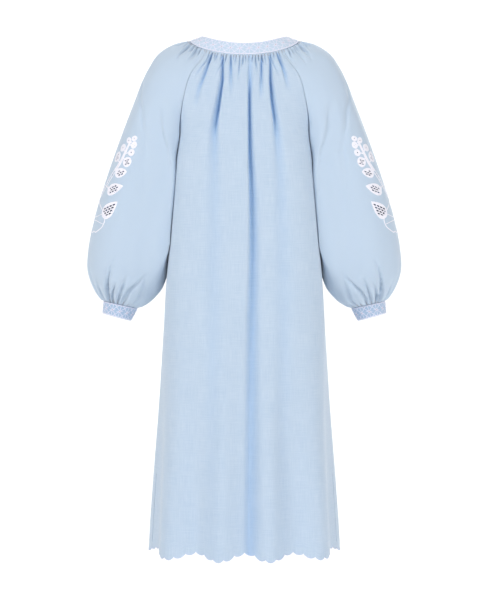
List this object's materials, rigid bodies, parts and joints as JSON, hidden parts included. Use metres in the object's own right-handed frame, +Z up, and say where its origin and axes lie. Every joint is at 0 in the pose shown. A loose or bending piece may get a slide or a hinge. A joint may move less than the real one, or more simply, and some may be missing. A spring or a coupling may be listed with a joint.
{
  "type": "midi dress",
  "caption": "Hollow gathered midi dress with full raglan sleeves, an embroidered neckband and cuffs, cutwork sleeves and a scalloped hem, in worn form.",
  "frame": {"origin": "on the body's midline, level with where the shoulders carry the dress just outside the neckband", "axes": "+Z up, -Y towards the wearer's back, +X towards the wearer's right"},
  "size_m": [0.7086, 0.3281, 1.1606],
  "materials": {
    "back_panel": "matte",
    "front_panel": "matte",
    "sleeve_left_back": "matte",
    "sleeve_left_front": "matte",
    "sleeve_right_back": "matte",
    "sleeve_right_front": "matte",
    "neckband": "matte",
    "cuff_left": "matte",
    "cuff_right": "matte"
  },
  "bodies": {
    "root": {"back_panel_yoke": "back_panel", "back_panel_waist": "back_panel", "back_panel_skirt": "back_panel", "front_panel": "front_panel", "sleeve_left_back": "sleeve_left_back", "sleeve_left_front": "sleeve_left_front", "sleeve_right_back": "sleeve_right_back", "sleeve_right_front": "sleeve_right_front", "neckband": "neckband", "cuff_left": "cuff_left", "cuff_right": "cuff_right"}
  },
  "joints": []
}
